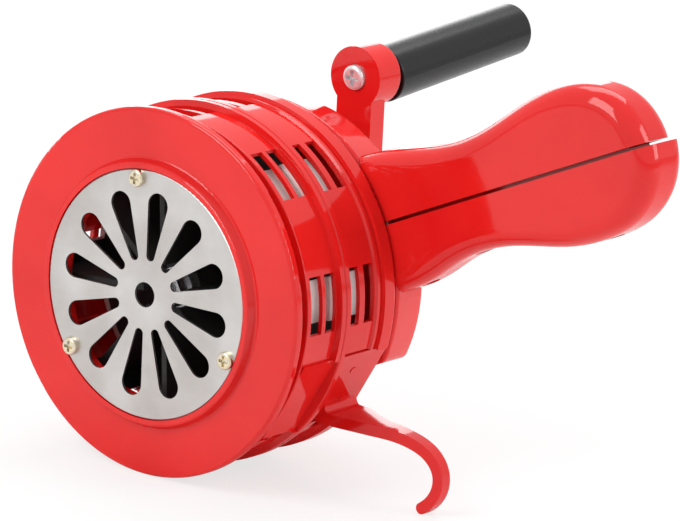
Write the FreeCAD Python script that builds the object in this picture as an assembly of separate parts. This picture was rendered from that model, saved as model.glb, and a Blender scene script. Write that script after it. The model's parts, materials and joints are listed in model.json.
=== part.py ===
import FreeCAD, Part

import math
import os

from FreeCAD import Vector

# Hand crank siren, built from separate pieces, in millimetres.
# While it is built, +Y runs rearwards along the drum's axis from the grille's front face,
# +X points to the side where the carrying handle leaves, and +Z is up.
# At the end everything is moved so that the origin is the middle of the base.

# Drum, sizes measured from its axis and places from the grille's front face
BAND_R = 69.0
BORE_R = BAND_R - 6.0
BAND_WALL = 1.8
WALL_R = BAND_R - BAND_WALL
FLANGE_R = BAND_R + 3.5
GROOVE_R = BAND_R - 3.4
RIDGE_R = BAND_R + 2.4
REAR_RIDGE_R = BAND_R + 1.1
SHOULDER_R = BAND_R + 0.4
COLLAR_R = BAND_R + 2.2
FLANGE_FRONT = 3.3
FLANGE_BACK = 7.8
GROOVE_BACK = 14.6
RIDGE_FRONT = 32.1
PARTING_Y = 35.3
RIDGE_BACK = 38.5
DRUM_BACK = 66.0
REAR_RIDGE = (DRUM_BACK - 10.6, DRUM_BACK - 8.2)
COLLAR_FRONT = DRUM_BACK - 7.3
GROOVE_WALL_BACK = GROOVE_BACK + BAND_WALL
FRONT_WALL = 3.7
BACK_WALL = 4.0
INTAKE_R = 41.5
RIM_ROUND = 1.3
EDGE_ROUND = 0.5

# Sound windows, rows of slots round the drum
WINDOWS = 8
WINDOW_ANGLE = 19.0
WINDOW_START = 5.75
FRONT_SLOTS = ((8.4, 14.0), (16.7, 23.4), (25.6, 31.6))
REAR_SLOTS = ((DRUM_BACK - 26.5, DRUM_BACK - 19.9), (DRUM_BACK - 16.7, DRUM_BACK - 11.2))

# Grille
DISC_R = 48.9
DISC_T = 1.0
DISC_GAP = 0.35
DISC_EDGE = 0.4
BEAD_R = 53.0
BEAD_SLOPE = 1.6
BEAD_ROUND = 0.8
BEAD_FRONT = -0.3
PETALS = 12
PETAL_IN = (15.8, 2.0)
PETAL_OUT = (36.3, 4.9)
GRILLE_HOLE_R = 4.95
GRILLE_SCREWS = 3
GRILLE_SCREW_RING = 45.5
GRILLE_SCREW_LENGTH = 7.0
GRILLE_HEAD = (3.5, 2.0)
GRILLE_TURN = 98.5

# Fits
FIT = 0.02
RUN = 0.05
SCREW_CLEAR = 0.15
END_PLAY = 0.3
SPARE = 5.0
THROUGH = 250.0

# Screws, as shank radii and (radius, height) of their heads
M3 = 1.5
M4 = 2.0
HEAD_ROUND = 0.45
CROSS = (1.25, 0.33, 0.6)
HOUSING_SCREWS = 4
HOUSING_SCREW_RING = BAND_R - 3.0
HOUSING_SCREW_GRIP = 12.0
HOUSING_BOSS_R = 3.6
HOUSING_BOSS_FLOOR = 2.0
HOUSING_HEAD = (2.8, 2.0)
CASE_HEAD = (3.8, 2.6)
HANDLE_HEAD = (3.7, 2.4)

# Rotor shaft and its two ball bearings
SHAFT_R = 4.0
SHAFT_FRONT = 11.0
SHAFT_COLLAR_R = 5.6
SHAFT_COLLAR_T = 3.4
SHAFT_SHORT = 1.6
BEARING_R = 11.0
BEARING_W = 7.0
BEARING_Y = (DRUM_BACK - 15.6, DRUM_BACK - 5.0)
RING_T = 2.2
RACE_R = (SHAFT_R + BEARING_R) / 2
BALLS = 7
BALL_R = 1.9
BEARING_BOSS_R = BEARING_R + 4.0
BEARING_LIP = 2.0

# Rotor
ROTOR_GAP = 1.0
ROTOR_FRONT = 9.2
ROTOR_BACK = BEARING_Y[0] - SHAFT_COLLAR_T
ROTOR_WALL = 3.0
ROTOR_PLATE = 3.0
ROTOR_SEGMENT_ANGLE = 16.0
ROTOR_SEGMENT_LAG = 0.6
ROTOR_RELIEF = (24.2, 36.4)
ROTOR_RELIEF_DEPTH = 1.6
HUB_R = 11.0
HUB_FRONT = 20.2
VANE_T = 2.4
VANE_FRONT = 11.0
ROTOR_WASHER = (8.0, 1.4)
ROTOR_NUT = (13.0, 6.0)

# Gear train, crank wheel to layshaft to rotor
FAST_MODULE = 1.0
SLOW_MODULE = 1.25
PINION_TEETH = 12
FAST_WHEEL_TEETH = 36
SLOW_WHEEL_TEETH = 48
PRESSURE_ANGLE = 25.0
BACKLASH = 0.22
FAST_LAYER = (DRUM_BACK + 5.0, DRUM_BACK + 11.0)
SLOW_LAYER = (DRUM_BACK + 14.0, DRUM_BACK + 21.0)
PINION_OVERHANG = 0.8
LAY_PIN_R = 3.0
LAY_WASHER_R = (6.0, 5.6)
LAY_WASHER_T = 1.3
LAY_HUB_R = 6.5
LAY_STEP = SLOW_LAYER[0] - 1.0
LAY_END = SLOW_LAYER[1] + 1.0
LAY_BOSS_R = 7.0
LAY_SPACER = 4.2
LAY_BOSS_Y = LAY_END + END_PLAY + LAY_SPACER
LAY_PIN_COVER = 1.0
WHEEL_HUB = (9.0, 3.0)
WHEEL_HOLES = 5
WHEEL_HOLE_R = 6.0
WHEEL_HOLE_RING = 19.5
WHEEL_HOLE_TURN = 20.0

# Gear housing behind the drum: a necked drafted cup, and a dome on its back over the crank wheel
NECK_R = BAND_R - 4.5
CASE_R = BAND_R + 0.5
CASE_RIM_R = BAND_R - 3.0
CASE_FRONT = DRUM_BACK + 3.0
CASE_RIM = DRUM_BACK + 24.0
CASE_WALL = 3.5
CASE_EDGE = 1.6
CASE_ROUND = 2.4
CASE_POST_RING = NECK_R - 7.5
CASE_POST_R = 4.5
CASE_POSTS = (80.0, 155.0, 238.0, 348.0)
CASE_FLAT_ANGLE = -65.0
CASE_FLAT_OUT = BAND_R - 19.0
CASE_CORNER = 4.0
DOME_X = 6.0
DOME_Z = 6.5
DOME_R = 45.0
DOME_DRAFT = 2.5
DOME_ROUND = 4.0
CASE_DEPTH = 38.0
CASE_BACK = DRUM_BACK + CASE_DEPTH
CASE_BOSS_RISE = 1.5

# Crank
CRANK_X = 13.5
CRANK_Z = 10.5
CRANK_SHAFT_R = 5.0
CRANK_SHOULDER = (7.0, 1.3)
BUSH_R = CRANK_SHAFT_R + 2.5
BUSH_FLANGE = (BUSH_R + 2.5, 1.5)
CRANK_BOSS_R = BUSH_R + 4.5
CRANK_WASHER_R = 9.5
ARM_LENGTH = 63.4
ARM_LEAN = 91.15
ARM_FRONT = CASE_BACK + 3.0
ARM_T = 8.6
ARM_WIDTH = 17.4
ARM_BOSS_R = 12.4
ARM_BOSS_T = 14.0
ARM_HUB_R = 13.0
ARM_HUB_T = 12.0
ARM_ROUND = 1.2
STUD_R = 3.0
STUD_PROUD = 0.5
CRANK_NUT = (10.0, 5.0)
CRANK_NUT_FLANGE = (7.0, 1.0)

# Turning grip on the end of the crank
GRIP_CANT = 5.4
GRIP_LENGTH = 86.0
GRIP_R = (11.3, 10.8)
GRIP_HANG = 2.8
GRIP_ROUND = (0.8, 1.6)
GRIP_BOLT_R = 3.0
GRIP_HEAD = (5.1, 3.0)
GRIP_HEAD_SINK = 0.9
GRIP_WASHER = (8.0, 1.2)
GRIP_NUT = (8.6, 4.6)
GRIP_NUT_WASHER = (4.6, 1.0)
GRIP_POCKET = (8.2, 9.0)
GRIP_BOLT_TIP = 1.6

# Carrying handle, two shells; along is outwards from the drum's axis, up is square to it
HANDLE_ANGLE = 25.0
HANDLE_FRONT = DRUM_BACK + 1.0
HANDLE_DEPTH = 24.0
HANDLE_MIDDLE = HANDLE_FRONT + HANDLE_DEPTH / 2
HANDLE_WALL = 3.0
HANDLE_ROUND = 8.0
SEAM_UP = 1.5
SEAM_GAP = 1.4
UPPER_LINE = ((44.0, 30.2), (60.0, 29.8), (74.0, 28.7), (90.0, 25.8), (106.0, 23.8), (122.0, 24.8),
              (136.0, 27.8), (150.0, 31.0), (163.0, 32.0), (175.0, 30.2), (185.5, 25.2), (192.5, 17.6),
              (196.0, 9.4))
UPPER_END = 197.0
LOWER_LINE = ((44.0, -24.6), (58.0, -25.6), (70.0, -25.6), (81.0, -24.0), (92.0, -21.2), (105.0, -19.4),
              (120.0, -20.4), (134.0, -23.6), (150.0, -27.4), (166.0, -28.2), (181.4, -25.2),
              (193.2, -16.8), (199.0, -6.2))
LOWER_END = 200.2
LOWER_PROUD = 0.6
CASE_CLEAR = 0.1
ROOT_ALONG = CASE_R + 1.5
TANG_END = 188.0
TANG_T = 8.0
TANG_DEPTH = 13.0
TANG_CLEAR = 0.1
HANDLE_SCREWS = (74.0, 104.0, 166.0)
TANG_SCREWS = 3
SCREW_SINK = 5.5
SCREW_END_UP = 18.0
HANDLE_BOSS_R = 4.6
HANDLE_REACH = 45.0

# Flat pads low on the drum's side
PAD_ANGLE = -29.0
PAD_TOP = 18.5
PAD_FRONT = GROOVE_BACK + 0.9
FRONT_PAD_OUT = BAND_R - 1.4
REAR_PAD_OUT = BAND_R - 4.4

# Stand hook on the rear pad; its line gives how far out from the plate's foot, and the share of the drop to
# the ground
HOOK_PLATE_T = 2.4
HOOK_PLATE_TOP = PAD_TOP - 0.9
HOOK_PLATE_FRONT = RIDGE_BACK + 0.8
HOOK_PLATE_BACK = DRUM_BACK + 2.0
HOOK_FOOT = -15.5
HOOK_T = 4.6
HOOK_BAR = (DRUM_BACK - 18.8, DRUM_BACK - 12.8)
HOOK_ROOT_REACH = 5.0
HOOK_LINE = ((-1.1, -0.04), (5.9, -0.01), (14.9, -0.02), (26.9, -0.04), (37.9, -0.05), (46.9, 0.0),
             (55.0, 0.15), (59.2, 0.39), (59.2, 0.65), (56.1, 0.88), (52.8, 1.0))
HOOK_RIVETS = ((8.0, DRUM_BACK - 13.0), (-7.0, DRUM_BACK - 10.0))
RIVET_HEAD = 0.3


def polar(radius, degrees):
    turn = math.radians(degrees)
    return radius * math.cos(turn), radius * math.sin(turn)


def rod(radius, y0, y1, x=0.0, z=0.0):
    return Part.makeCylinder(radius, y1 - y0, Vector(x, y0, z), Vector(0, 1, 0))


def bore(radius, x=0.0, z=0.0):
    """A cutter for a hole right through, along Y."""
    return rod(radius, -THROUGH, THROUGH, x, z)


def tube(outer, inner, y0, y1, x=0.0, z=0.0):
    return rod(outer, y0, y1, x, z).cut(bore(inner, x, z))


def turned(points):
    """A solid turned about the Y axis from (radius, y) points."""
    corners = [Vector(radius, y, 0) for radius, y in points]
    wire = Part.makePolygon(corners + corners[:1])
    return Part.Face(wire).revolve(Vector(0, 0, 0), Vector(0, 1, 0), 360)


def prism(points, y0, y1):
    """A flat shape of (x, z) points, as thick as y0 to y1."""
    corners = [Vector(x, y0, z) for x, z in points]
    wire = Part.makePolygon(corners + corners[:1])
    return Part.Face(wire).extrude(Vector(0, y1 - y0, 0))


def round_rims(shape, rims):
    """Round the circular edges given as (radius, y, fillet)."""
    for radius, y, fillet in rims:
        edges = []
        for edge in shape.Edges:
            curve = edge.Curve
            if isinstance(curve, Part.Circle) and abs(curve.Radius - radius) < 0.02:
                if abs(curve.Center.y - y) < 0.02:
                    edges.append(edge)
        if edges:
            shape = shape.makeFillet(fillet, edges)
    return shape


def pan_screw(radius, head_size, length):
    """A cross-slot pan head screw along +Y, its head's underside at the origin."""
    head_r, head_h = head_size
    cross_l, cross_w, cross_deep = CROSS
    head = rod(head_r, -head_h, 0)
    head = round_rims(head, [(head_r, -head_h, head_h * HEAD_ROUND)])
    screw = head.fuse(rod(radius, 0, length)).removeSplitter()
    slot_l = head_r * cross_l
    slot_w = head_r * cross_w
    for size_x, size_z in ((slot_l, slot_w), (slot_w, slot_l)):
        corner = Vector(-size_x / 2, -head_h - 1, -size_z / 2)
        screw = screw.cut(Part.makeBox(size_x, 1 + head_h * cross_deep, size_z, corner))
    return screw


def turned_back(screw):
    """The screw put in from behind, pointing along -Y."""
    screw.rotate(Vector(0, 0, 0), Vector(1, 0, 0), 180)
    return screw


def placed(shape, x, y, z):
    copy = shape.copy()
    copy.translate(Vector(x, y, z))
    return copy


def hexagon(across_flats, y0, y1, x=0.0, z=0.0):
    corner_r = across_flats / math.sqrt(3)
    points = [(x + polar(corner_r, 60 * k)[0], z + polar(corner_r, 60 * k)[1]) for k in range(6)]
    return prism(points, y0, y1)


def aside(degrees, out, up):
    """A point given by its distance out from the axis at an angle, and up, square to that."""
    turn = math.radians(degrees)
    return out * math.cos(turn) - up * math.sin(turn), out * math.sin(turn) + up * math.cos(turn)


def block_aside(degrees, out0, out1, up0, up1, y0, y1):
    corners = ((out0, up0), (out1, up0), (out1, up1), (out0, up1))
    return prism([aside(degrees, out, up) for out, up in corners], y0, y1)


def in_pad(out, up):
    return aside(PAD_ANGLE, out, up)


def pad_block(out0, out1, up0, up1, y0, y1):
    return block_aside(PAD_ANGLE, out0, out1, up0, up1, y0, y1)


def window_cutters(slots):
    cutters = []
    inner = BORE_R - SPARE
    outer = FLANGE_R + SPARE
    for k in range(WINDOWS):
        middle = WINDOW_START + 360 / WINDOWS * k
        low = middle - WINDOW_ANGLE / 2
        high = middle + WINDOW_ANGLE / 2
        sector = [polar(inner, low), polar(outer, low), polar(outer, high), polar(inner, high)]
        for y0, y1 in slots:
            cutters.append(prism(sector, y0, y1))
    return cutters


def housing_screw_places():
    """Half way between two windows, four times round the drum."""
    pitch = 360 / WINDOWS
    step = WINDOWS // HOUSING_SCREWS
    return [polar(HOUSING_SCREW_RING, WINDOW_START + pitch * (step * k + 0.5)) for k in range(HOUSING_SCREWS)]


def grille_screw_places():
    return [polar(GRILLE_SCREW_RING, GRILLE_TURN + 360 / GRILLE_SCREWS * k) for k in range(GRILLE_SCREWS)]


def case_post_places():
    return [polar(CASE_POST_RING, degrees) for degrees in CASE_POSTS]


# The front housing: flange, open groove, front band and the front half of the middle ridge
def housing_bosses(y0, y1):
    """The bosses inside the thin wall that the housing's screws run in."""
    bosses = [rod(HOUSING_BOSS_R, y0, y1, x, z) for x, z in housing_screw_places()]
    inside = tube(BAND_R - EDGE_ROUND, BORE_R, y0, y1)
    return [boss.common(inside) for boss in bosses]


def make_front_housing():
    seat_y = DISC_T
    plate_back = FLANGE_FRONT + FRONT_WALL
    seat_r = DISC_R + DISC_GAP
    bead_top_r = BEAD_R - BEAD_SLOPE
    shell = turned([
        (INTAKE_R, seat_y), (seat_r, seat_y), (seat_r, BEAD_FRONT), (bead_top_r, BEAD_FRONT),
        (BEAD_R, FLANGE_FRONT), (FLANGE_R, FLANGE_FRONT), (FLANGE_R, FLANGE_BACK),
        (GROOVE_R, FLANGE_BACK), (GROOVE_R, GROOVE_BACK), (BAND_R, GROOVE_BACK),
        (BAND_R, RIDGE_FRONT), (RIDGE_R, RIDGE_FRONT + EDGE_ROUND), (RIDGE_R, PARTING_Y - EDGE_ROUND),
        (RIDGE_R - EDGE_ROUND, PARTING_Y), (WALL_R, PARTING_Y), (WALL_R, GROOVE_WALL_BACK),
        (BORE_R, GROOVE_WALL_BACK), (BORE_R, plate_back),
        (BEAD_R, plate_back), (BEAD_R - BEAD_SLOPE, seat_y + FRONT_WALL), (INTAKE_R, seat_y + FRONT_WALL)])
    shell = round_rims(shell, [
        (FLANGE_R, FLANGE_FRONT, RIM_ROUND), (FLANGE_R, FLANGE_BACK, RIM_ROUND),
        (BAND_R, GROOVE_BACK, EDGE_ROUND), (bead_top_r, BEAD_FRONT, BEAD_ROUND),
        (BEAD_R, FLANGE_FRONT, BEAD_ROUND)])
    shell = shell.cut(Part.makeCompound(window_cutters(FRONT_SLOTS)))
    outside = pad_block(FRONT_PAD_OUT, FLANGE_R + SPARE, -PAD_TOP, PAD_TOP, PAD_FRONT, PARTING_Y + 1)
    pad = pad_block(BORE_R - SPARE, FRONT_PAD_OUT, -PAD_TOP, PAD_TOP, PAD_FRONT, PARTING_Y)
    thread_y = PARTING_Y - HOUSING_SCREW_GRIP - 1
    boss_y = thread_y - HOUSING_BOSS_FLOOR
    shell = shell.cut(outside).fuse([pad.cut(bore(BORE_R))] + housing_bosses(boss_y, PARTING_Y))
    holes = [rod(M3 + SCREW_CLEAR, 0, GRILLE_SCREW_LENGTH + 1, x, z) for x, z in grille_screw_places()]
    holes += [rod(M3 + SCREW_CLEAR, thread_y, PARTING_Y + 1, x, z) for x, z in housing_screw_places()]
    return shell.cut(Part.makeCompound(holes)).removeSplitter()


# The rear housing: rear band, collar and the back wall that carries the bearings
HOUSING_SEAT_Y = DRUM_BACK - HOUSING_HEAD[1] - 0.1


def make_rear_housing():
    wall_y = DRUM_BACK - BACK_WALL
    ridge0, ridge1 = REAR_RIDGE
    shell = turned([
        (RIDGE_R - EDGE_ROUND, PARTING_Y), (RIDGE_R, PARTING_Y + EDGE_ROUND),
        (RIDGE_R, RIDGE_BACK - EDGE_ROUND), (BAND_R, RIDGE_BACK), (BAND_R, ridge0),
        (REAR_RIDGE_R, ridge0 + EDGE_ROUND),
        (REAR_RIDGE_R, ridge1 - EDGE_ROUND), (SHOULDER_R, ridge1), (SHOULDER_R, COLLAR_FRONT),
        (COLLAR_R, COLLAR_FRONT + EDGE_ROUND), (COLLAR_R, DRUM_BACK), (0, DRUM_BACK), (0, wall_y),
        (WALL_R, wall_y), (WALL_R, PARTING_Y)])
    shell = round_rims(shell, [(COLLAR_R, DRUM_BACK, RIM_ROUND)])
    first, second = BEARING_Y
    bearing_end = second + BEARING_W
    shell = shell.fuse(rod(BEARING_BOSS_R, first, bearing_end)).removeSplitter()
    shell = shell.cut(Part.makeCompound(window_cutters(REAR_SLOTS)))
    pad_y = RIDGE_BACK - EDGE_ROUND
    seat = pad_block(BORE_R - SPARE, REAR_PAD_OUT, -PAD_TOP, PAD_TOP, pad_y, DRUM_BACK)
    opening = pad_block(REAR_PAD_OUT, FLANGE_R + SPARE, -PAD_TOP, PAD_TOP, pad_y, DRUM_BACK + 1)
    lining = [seat.cut(rod(BORE_R, 0, wall_y + 1))] + housing_bosses(PARTING_Y, wall_y + 1)
    shell = shell.cut(opening).fuse(lining)
    holes = [rod(BEARING_R + FIT, first - 1, first + BEARING_W),
             rod(BEARING_R + FIT, second, bearing_end + 1),
             rod(BEARING_R - BEARING_LIP, first, bearing_end)]
    head_r = HOUSING_HEAD[0] + SCREW_CLEAR
    for x, z in housing_screw_places():
        holes.append(rod(M3 + SCREW_CLEAR, PARTING_Y - 1, DRUM_BACK + 1, x, z))
        holes.append(rod(head_r, HOUSING_SEAT_Y, DRUM_BACK + 1, x, z))
    holes += [rod(M4 + SCREW_CLEAR, wall_y - 1, DRUM_BACK + 1, x, z) for x, z in case_post_places()]
    holes.append(rod(LAY_PIN_R + FIT, wall_y - 1, DRUM_BACK + 1, *LAY_PLACE))
    holes += [rivet_rod(up, y, M3 + FIT, BORE_R - SPARE, REAR_PAD_OUT + 1) for up, y in HOOK_RIVETS]
    return shell.cut(Part.makeCompound(holes)).removeSplitter()


def make_housing_screws():
    screw = turned_back(pan_screw(M3, HOUSING_HEAD, HOUSING_SEAT_Y - PARTING_Y + HOUSING_SCREW_GRIP))
    return Part.makeCompound([placed(screw, x, HOUSING_SEAT_Y, z) for x, z in housing_screw_places()])


# The grille: a round plate with petal slots, and its three screws
def petal_cutter(turn):
    in_r, in_w = PETAL_IN
    out_r, out_w = PETAL_OUT
    lean = math.degrees(math.asin((out_w - in_w) / (out_r - in_r)))
    sides = []
    for centre_r, half_w, side in ((in_r, in_w, -1), (out_r, out_w, -1), (out_r, out_w, 1), (in_r, in_w, 1)):
        cx, cz = polar(centre_r, turn)
        dx, dz = polar(half_w, turn + side * (90 + lean))
        sides.append((cx + dx, cz + dz))
    petal = prism(sides, -1, DISC_T + 1)
    return petal.fuse([rod(in_w, -1, DISC_T + 1, *polar(in_r, turn)),
                       rod(out_w, -1, DISC_T + 1, *polar(out_r, turn))])


def make_grille_disc():
    disc = rod(DISC_R, 0, DISC_T)
    cutters = [bore(GRILLE_HOLE_R)]
    cutters += [petal_cutter(GRILLE_TURN + 360 / PETALS * (k + 0.5)) for k in range(PETALS)]
    cutters += [bore(M3 + SCREW_CLEAR, x, z) for x, z in grille_screw_places()]
    disc = disc.cut(Part.makeCompound(cutters))
    return round_rims(disc, [(DISC_R, 0, DISC_EDGE)])


def make_grille_screws():
    screw = pan_screw(M3, GRILLE_HEAD, GRILLE_SCREW_LENGTH)
    return Part.makeCompound([placed(screw, x, 0, z) for x, z in grille_screw_places()])


# The rotor: hub, radial vanes, wall pieces that open and close the windows, and a back plate
def make_rotor():
    outer = BORE_R - ROTOR_GAP
    plate_y = ROTOR_BACK - ROTOR_PLATE
    body = rod(outer, plate_y, ROTOR_BACK).fuse(rod(HUB_R, HUB_FRONT, ROTOR_BACK))
    wall = tube(outer, outer - ROTOR_WALL, ROTOR_FRONT, plate_y)
    relief0, relief1 = ROTOR_RELIEF
    wall = wall.cut(tube(outer + SPARE, outer - ROTOR_RELIEF_DEPTH, relief0, relief1))
    pieces = []
    for k in range(WINDOWS):
        turn = WINDOW_START - ROTOR_SEGMENT_LAG + 360 / WINDOWS * k
        low = turn - ROTOR_SEGMENT_ANGLE / 2
        high = turn + ROTOR_SEGMENT_ANGLE / 2
        wedge = prism([(0, 0), polar(outer + SPARE, low), polar(outer + SPARE, high)], ROTOR_FRONT, plate_y)
        pieces.append(wall.common(wedge))
        vane = Part.makeBox(outer - ROTOR_WALL - HUB_R + 2, plate_y - VANE_FRONT + 0.5, VANE_T,
                            Vector(HUB_R - 1, VANE_FRONT, -VANE_T / 2))
        vane.rotate(Vector(0, 0, 0), Vector(0, 1, 0), -turn)
        pieces.append(vane)
    return body.fuse(pieces).cut(bore(SHAFT_R + FIT)).removeSplitter()


def make_rotor_shaft():
    shaft = rod(SHAFT_R, SHAFT_FRONT, SLOW_LAYER[0] - SHAFT_SHORT)
    return shaft.fuse(rod(SHAFT_COLLAR_R, ROTOR_BACK, BEARING_Y[0])).removeSplitter()


def make_rotor_washer():
    washer_r, washer_t = ROTOR_WASHER
    return tube(washer_r, SHAFT_R + FIT, HUB_FRONT - washer_t, HUB_FRONT)


def make_rotor_nut():
    across, height = ROTOR_NUT
    seat_y = HUB_FRONT - ROTOR_WASHER[1]
    return hexagon(across, seat_y - height, seat_y).cut(bore(SHAFT_R + FIT))


# The ball bearings, as outer rings, inner rings and balls
def bearing_ring(outer, inner, y):
    track = Part.makeTorus(RACE_R, BALL_R + RUN, Vector(0, y + BEARING_W / 2, 0), Vector(0, 1, 0))
    return tube(outer, inner, y, y + BEARING_W).cut(track)


def make_bearing_outer_rings():
    return Part.makeCompound([bearing_ring(BEARING_R, BEARING_R - RING_T, y) for y in BEARING_Y])


def make_bearing_inner_rings():
    return Part.makeCompound([bearing_ring(SHAFT_R + RING_T, SHAFT_R + FIT, y) for y in BEARING_Y])


def make_bearing_balls():
    balls = []
    for y in BEARING_Y:
        for k in range(BALLS):
            x, z = polar(RACE_R, 360 / BALLS * k)
            balls.append(Part.makeSphere(BALL_R, Vector(x, y + BEARING_W / 2, z)))
    return Part.makeCompound(balls)


# Gears with real involute flanks
def involute(angle):
    return math.tan(angle) - angle


def gear(teeth, module, toward, on_tooth, y0, y1, x, z):
    """A spur gear with a tooth, or a space, pointing along the angle called toward."""
    pitch_r = teeth * module / 2
    tip_r = pitch_r + 0.8 * module
    root_r = pitch_r - 1.0 * module
    press = math.radians(PRESSURE_ANGLE)
    base_r = pitch_r * math.cos(press)
    half_pitch = math.pi / (2 * teeth) - BACKLASH / 4 / pitch_r
    start = math.radians(toward) + (0 if on_tooth else math.pi / teeth)

    def half_width(radius):
        if radius <= base_r:
            return half_pitch + involute(press)
        return half_pitch + involute(press) - involute(math.acos(base_r / radius))

    low_r = max(root_r, base_r)
    radii = [low_r + (tip_r - low_r) * share for share in (0, 0.35, 0.7, 1)]
    edges = []
    for k in range(teeth):
        middle = start + 2 * math.pi * k / teeth

        def at(radius, angle):
            return Vector(x + radius * math.cos(angle), y0, z + radius * math.sin(angle))

        rise = [at(radius, middle - half_width(radius)) for radius in radii]
        fall = [at(radius, middle + half_width(radius)) for radius in reversed(radii)]
        foot0 = at(root_r, middle - half_width(root_r))
        foot1 = at(root_r, middle + half_width(root_r))
        next_foot = at(root_r, middle + 2 * math.pi / teeth - half_width(root_r))
        valley = at(root_r, middle + math.pi / teeth)
        if root_r < base_r:
            edges.append(Part.LineSegment(foot0, rise[0]).toShape())
        for flank in (rise, fall):
            curve = Part.BSplineCurve()
            curve.interpolate(flank)
            edges.append(curve.toShape())
            if flank is rise:
                edges.append(Part.Arc(rise[-1], at(tip_r, middle), fall[0]).toShape())
        if root_r < base_r:
            edges.append(Part.LineSegment(fall[-1], foot1).toShape())
        edges.append(Part.Arc(foot1, valley, next_foot).toShape())
    wire = Part.Wire(edges)
    return Part.Face(wire).extrude(Vector(0, y1 - y0, 0))


CRANK_PLACE = (CRANK_X, CRANK_Z)
FAST_REACH = FAST_MODULE * (PINION_TEETH + FAST_WHEEL_TEETH) / 2
SLOW_REACH = SLOW_MODULE * (PINION_TEETH + SLOW_WHEEL_TEETH) / 2


def layshaft_place():
    """Where the layshaft lies, at both wheels' reach from the rotor and the crank."""
    crank_reach = math.hypot(CRANK_X, CRANK_Z)
    along = (FAST_REACH ** 2 - SLOW_REACH ** 2 + crank_reach ** 2) / (2 * crank_reach)
    aside = math.sqrt(FAST_REACH ** 2 - along ** 2)
    unit_x = CRANK_X / crank_reach
    unit_z = CRANK_Z / crank_reach
    return unit_x * along - unit_z * aside, unit_z * along + unit_x * aside


LAY_PLACE = layshaft_place()
LAY_TO_ROTOR = math.degrees(math.atan2(-LAY_PLACE[1], -LAY_PLACE[0]))
CRANK_TO_LAY = math.degrees(math.atan2(LAY_PLACE[1] - CRANK_Z, LAY_PLACE[0] - CRANK_X))


def make_rotor_pinion():
    y0 = FAST_LAYER[0] - PINION_OVERHANG
    y1 = FAST_LAYER[1] + PINION_OVERHANG
    pinion = gear(PINION_TEETH, FAST_MODULE, LAY_TO_ROTOR + 180, False, y0, y1, 0, 0)
    return pinion.cut(bore(SHAFT_R + FIT))


def make_layshaft_wheel():
    y0, y1 = FAST_LAYER
    wheel = gear(FAST_WHEEL_TEETH, FAST_MODULE, LAY_TO_ROTOR, True, y0, y1, *LAY_PLACE)
    wheel = wheel.fuse(rod(LAY_HUB_R, DRUM_BACK + LAY_WASHER_T, LAY_STEP, *LAY_PLACE))
    return wheel.cut(bore(LAY_PIN_R + RUN, *LAY_PLACE)).removeSplitter()


def make_layshaft_pinion():
    pinion = gear(PINION_TEETH, SLOW_MODULE, CRANK_TO_LAY + 180, False, LAY_STEP, LAY_END, *LAY_PLACE)
    return pinion.cut(bore(LAY_PIN_R + RUN, *LAY_PLACE))


def make_layshaft_pin():
    return rod(LAY_PIN_R, DRUM_BACK - BACK_WALL, CASE_BACK - LAY_PIN_COVER, *LAY_PLACE)


def make_layshaft_washers():
    front_r, back_r = LAY_WASHER_R
    front = tube(front_r, LAY_PIN_R + FIT, DRUM_BACK, DRUM_BACK + LAY_WASHER_T - END_PLAY, *LAY_PLACE)
    back = tube(back_r, LAY_PIN_R + FIT, LAY_END + END_PLAY, LAY_BOSS_Y, *LAY_PLACE)
    return Part.makeCompound([front, back])


def make_crank_wheel():
    y0, y1 = SLOW_LAYER
    hub_r, hub_h = WHEEL_HUB
    wheel = gear(SLOW_WHEEL_TEETH, SLOW_MODULE, CRANK_TO_LAY, True, y0, y1, *CRANK_PLACE)
    wheel = wheel.fuse(rod(hub_r, y0, y1 + hub_h, *CRANK_PLACE))
    holes = [bore(CRANK_SHAFT_R + FIT, *CRANK_PLACE)]
    for k in range(WHEEL_HOLES):
        x, z = polar(WHEEL_HOLE_RING, 360 / WHEEL_HOLES * k + WHEEL_HOLE_TURN)
        holes.append(bore(WHEEL_HOLE_R, CRANK_X + x, CRANK_Z + z))
    return wheel.cut(Part.makeCompound(holes)).removeSplitter()


# The crank: shaft, bush, washer, nut and arm
HUB_SEAT = ARM_FRONT + ARM_HUB_T
BUSH_Y = SLOW_LAYER[1] + WHEEL_HUB[1] + END_PLAY
BUSH_BACK = CASE_BACK + CASE_BOSS_RISE


def make_crank_shaft():
    collar_r, collar_t = CRANK_SHOULDER
    stud_end = HUB_SEAT + CRANK_NUT_FLANGE[1] + CRANK_NUT[1] + STUD_PROUD
    shaft = rod(CRANK_SHAFT_R, SLOW_LAYER[0], HUB_SEAT, *CRANK_PLACE)
    shaft = shaft.fuse(rod(collar_r, SLOW_LAYER[0] - collar_t, SLOW_LAYER[0], *CRANK_PLACE))
    return shaft.fuse(rod(STUD_R, HUB_SEAT, stud_end, *CRANK_PLACE)).removeSplitter()


def make_crank_bush():
    flange_r, flange_t = BUSH_FLANGE
    bush = tube(BUSH_R, CRANK_SHAFT_R + RUN, BUSH_Y, BUSH_BACK, *CRANK_PLACE)
    flange = tube(flange_r, CRANK_SHAFT_R + RUN, BUSH_Y, BUSH_Y + flange_t, *CRANK_PLACE)
    return bush.fuse(flange).removeSplitter()


def make_crank_washer():
    return tube(CRANK_WASHER_R, CRANK_SHAFT_R + FIT, BUSH_BACK + END_PLAY, ARM_FRONT, *CRANK_PLACE)


def make_crank_nut():
    across, height = CRANK_NUT
    flange_r, flange_t = CRANK_NUT_FLANGE
    nut = hexagon(across, HUB_SEAT + flange_t, HUB_SEAT + flange_t + height, *CRANK_PLACE)
    nut = nut.fuse(rod(flange_r, HUB_SEAT, HUB_SEAT + flange_t, *CRANK_PLACE))
    return nut.cut(bore(STUD_R + FIT, *CRANK_PLACE)).removeSplitter()


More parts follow.
